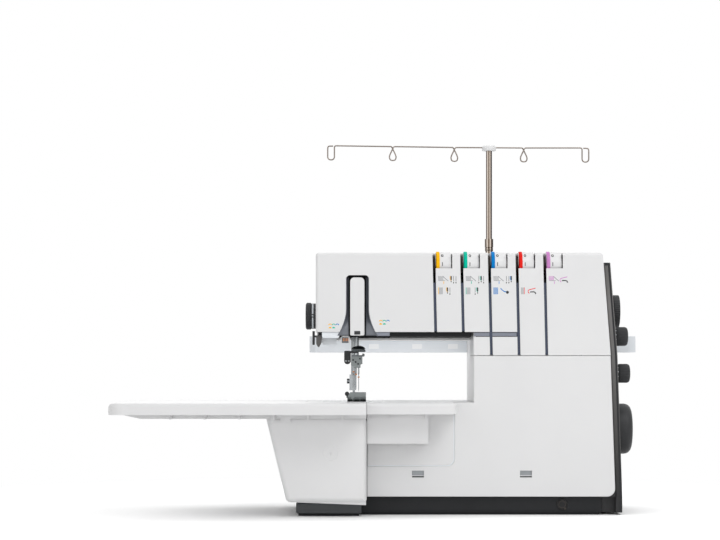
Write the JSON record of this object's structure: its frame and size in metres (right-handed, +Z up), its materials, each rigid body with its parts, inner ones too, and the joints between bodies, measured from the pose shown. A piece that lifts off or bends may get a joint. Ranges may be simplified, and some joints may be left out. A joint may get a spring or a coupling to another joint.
{
  "type": "overlock sewing machine",
  "caption": "Overlock and cover-stitch sewing machine with tension dials, hinged looper cover, sliding extension table, presser lifter and rear spool stand with telescopic thread guide",
  "frame": {"origin": "centre of the bounding box on the floor", "axes": "+X to the handwheel side, +Y to the back, +Z up"},
  "size_m": [0.668, 0.37, 0.482],
  "materials": {
    "white_plastic": "white plastic",
    "dark_plastic": "dark plastic",
    "base_plastic": "base plastic",
    "tray_plastic": "tray plastic",
    "steel": "steel",
    "dark_steel": "dark steel",
    "aluminium": "aluminium",
    "rubber": "rubber",
    "brass": "brass",
    "lamp_lens": "lamp lens",
    "dial_yellow": "dial yellow",
    "dial_green": "dial green",
    "dial_blue": "dial blue",
    "dial_red": "dial red",
    "dial_violet": "dial violet"
  },
  "bodies": {
    "machine_body": {"base_pan": "base_plastic", "rubber_feet": "rubber", "main_frame": "aluminium", "shaft_bushes": "brass", "head_cover": "white_plastic", "tension_cover": "white_plastic", "rear_cover": "white_plastic", "side_panel": "dark_plastic", "bed_casing": "white_plastic", "bed_deck": "white_plastic", "needle_plate": "steel", "take_up_guard": "white_plastic", "tension_housing": "dark_plastic", "tension_shaft": "steel", "tension_discs": "steel", "thread_cutter": "white_plastic", "sewing_lamp": "lamp_lens", "needle_thread_guide": "steel", "motor": "dark_steel", "drive_belt": "rubber", "lower_knife": "steel", "power_inlet": "base_plastic", "knee_socket": "dark_steel", "casing_screws": "steel", "spool_tray": "tray_plastic", "spool_pins": "steel", "cone_holders": "tray_plastic", "mast_tube": "steel"},
    "looper_cover": {"looper_cover": "white_plastic", "cover_insert": "white_plastic"},
    "extension_table": {"extension_table": "white_plastic"},
    "main_shaft": {"main_shaft": "steel", "handwheel": "dark_plastic", "drive_pulley": "aluminium"},
    "motor_pulley": {"motor_pulley": "steel"},
    "arm_shaft": {"arm_shaft": "steel"},
    "needle_bar": {"needle_bar": "steel", "needle_clamp": "dark_steel", "needle_guide_comb": "steel", "needles": "steel"},
    "presser_bar": {"presser_bar": "steel"},
    "presser_foot": {"presser_foot": "dark_steel"},
    "presser_lifter": {"presser_lifter": "steel"},
    "feed_dog": {"feed_dog": "dark_steel"},
    "lower_looper": {"lower_looper": "steel"},
    "upper_looper": {"upper_looper": "steel"},
    "upper_knife": {"upper_knife": "steel"},
    "stitch_length_knob": {"stitch_length_knob": "dark_plastic"},
    "differential_knob": {"differential_knob": "dark_plastic"},
    "selector_dial": {"selector_dial": "dark_plastic"},
    "pressure_knob": {"pressure_knob": "dark_plastic"},
    "power_switch": {"power_switch": "base_plastic"},
    "thread_guide": {"mast_top": "steel", "guide_cap": "white_plastic", "thread_guide": "steel"},
    "tension_dial_1": {"tension_dial_1": "dial_yellow"},
    "tension_dial_2": {"tension_dial_2": "dial_green"},
    "tension_dial_3": {"tension_dial_3": "dial_blue"},
    "tension_dial_4": {"tension_dial_4": "dial_red"},
    "tension_dial_5": {"tension_dial_5": "dial_violet"}
  },
  "joints": [
    {"name": "looper_cover_hinge", "type": "hinge", "parent": "machine_body", "child": "looper_cover", "pos_m": [0.129, -0.0835, 0.027], "axis": [1, 0, 0], "range_deg": [0, 60]},
    {"name": "table_slide", "type": "slide", "parent": "machine_body", "child": "extension_table", "axis": [-1, 0, 0], "range_m": [0, 0.12]},
    {"name": "handwheel_turn", "type": "hinge", "parent": "machine_body", "child": "main_shaft", "pos_m": [0.144, -0.02, 0.105], "axis": [1, 0, 0], "continuous": true},
    {"name": "motor_turn", "type": "hinge", "parent": "machine_body", "child": "motor_pulley", "pos_m": [0.259, 0.03, 0.055], "axis": [1, 0, 0], "continuous": true},
    {"name": "arm_shaft_rock", "type": "hinge", "parent": "machine_body", "child": "arm_shaft", "pos_m": [0.034, 0.02, 0.262], "axis": [1, 0, 0], "range_deg": [0, 24.62]},
    {"name": "needle_bar_slide", "type": "slide", "parent": "machine_body", "child": "needle_bar", "axis": [0, 0, 1], "range_m": [-0.0242, 0.0001]},
    {"name": "presser_lift", "type": "slide", "parent": "machine_body", "child": "presser_bar", "axis": [0, 0, 1], "range_m": [0, 0.0056]},
    {"name": "presser_foot_tilt", "type": "hinge", "parent": "presser_bar", "child": "presser_foot", "pos_m": [-0.039, -0.01, 0.148], "axis": [1, 0, 0], "range_deg": [-8, 0]},
    {"name": "presser_lifter_turn", "type": "hinge", "parent": "machine_body", "child": "presser_lifter", "pos_m": [0.014, 0.075, 0.246], "axis": [0, 1, 0], "range_deg": [0, 50]},
    {"name": "feed_travel", "type": "slide", "parent": "machine_body", "child": "feed_dog", "axis": [0, 1, 0], "range_m": [-0.002, 0.002]},
    {"name": "lower_looper_swing", "type": "hinge", "parent": "machine_body", "child": "lower_looper", "pos_m": [-0.061, -0.03, 0.06], "axis": [0, 1, 0], "range_deg": [-10, 10]},
    {"name": "upper_looper_swing", "type": "hinge", "parent": "machine_body", "child": "upper_looper", "pos_m": [0.009, -0.03, 0.06], "axis": [0, 1, 0], "range_deg": [-10, 10]},
    {"name": "upper_knife_travel", "type": "slide", "parent": "machine_body", "child": "upper_knife", "axis": [0, 0, 1], "range_m": [-0.008, 0]},
    {"name": "stitch_length_turn", "type": "hinge", "parent": "machine_body", "child": "stitch_length_knob", "pos_m": [0.294, -0.045, 0.222], "axis": [1, 0, 0], "range_deg": [-120, 120]},
    {"name": "differential_turn", "type": "hinge", "parent": "machine_body", "child": "differential_knob", "pos_m": [0.294, -0.045, 0.1755], "axis": [1, 0, 0], "range_deg": [-120, 120]},
    {"name": "selector_turn", "type": "hinge", "parent": "machine_body", "child": "selector_dial", "pos_m": [0.289, 0.01, 0.255], "axis": [1, 0, 0], "range_deg": [-150, 150]},
    {"name": "pressure_turn", "type": "hinge", "parent": "machine_body", "child": "pressure_knob", "pos_m": [-0.093, -0.03, 0.248], "axis": [1, 0, 0], "range_deg": [-150, 150]},
    {"name": "power_rock", "type": "hinge", "parent": "machine_body", "child": "power_switch", "pos_m": [0.29095, 0.002, 0.044], "axis": [0, 1, 0], "range_deg": [-8, 8]},
    {"name": "mast_slide", "type": "slide", "parent": "machine_body", "child": "thread_guide", "axis": [0, 0, 1], "range_m": [-0.11, 0]},
    {"name": "tension_turn_1", "type": "hinge", "parent": "machine_body", "child": "tension_dial_1", "pos_m": [0.073, -0.0718, 0.3115], "axis": [1, 0, 0], "range_deg": [-135, 135]},
    {"name": "tension_turn_2", "type": "hinge", "parent": "machine_body", "child": "tension_dial_2", "pos_m": [0.1073, -0.0718, 0.3115], "axis": [1, 0, 0], "range_deg": [-135, 135]},
    {"name": "tension_turn_3", "type": "hinge", "parent": "machine_body", "child": "tension_dial_3", "pos_m": [0.1416, -0.0718, 0.3115], "axis": [1, 0, 0], "range_deg": [-135, 135]},
    {"name": "tension_turn_4", "type": "hinge", "parent": "machine_body", "child": "tension_dial_4", "pos_m": [0.1759, -0.0718, 0.3115], "axis": [1, 0, 0], "range_deg": [-135, 135]},
    {"name": "tension_turn_5", "type": "hinge", "parent": "machine_body", "child": "tension_dial_5", "pos_m": [0.2102, -0.0718, 0.3115], "axis": [1, 0, 0], "range_deg": [-135, 135]}
  ],
  "couplings": [
    {"joint": "motor_turn", "follows": "handwheel_turn", "ratio": 3},
    {"joint": "needle_bar_slide", "follows": "arm_shaft_rock", "m_per_rad": -0.055862},
    {"joint": "presser_lift", "follows": "presser_lifter_turn", "m_per_rad": 0.006303}
  ]
}
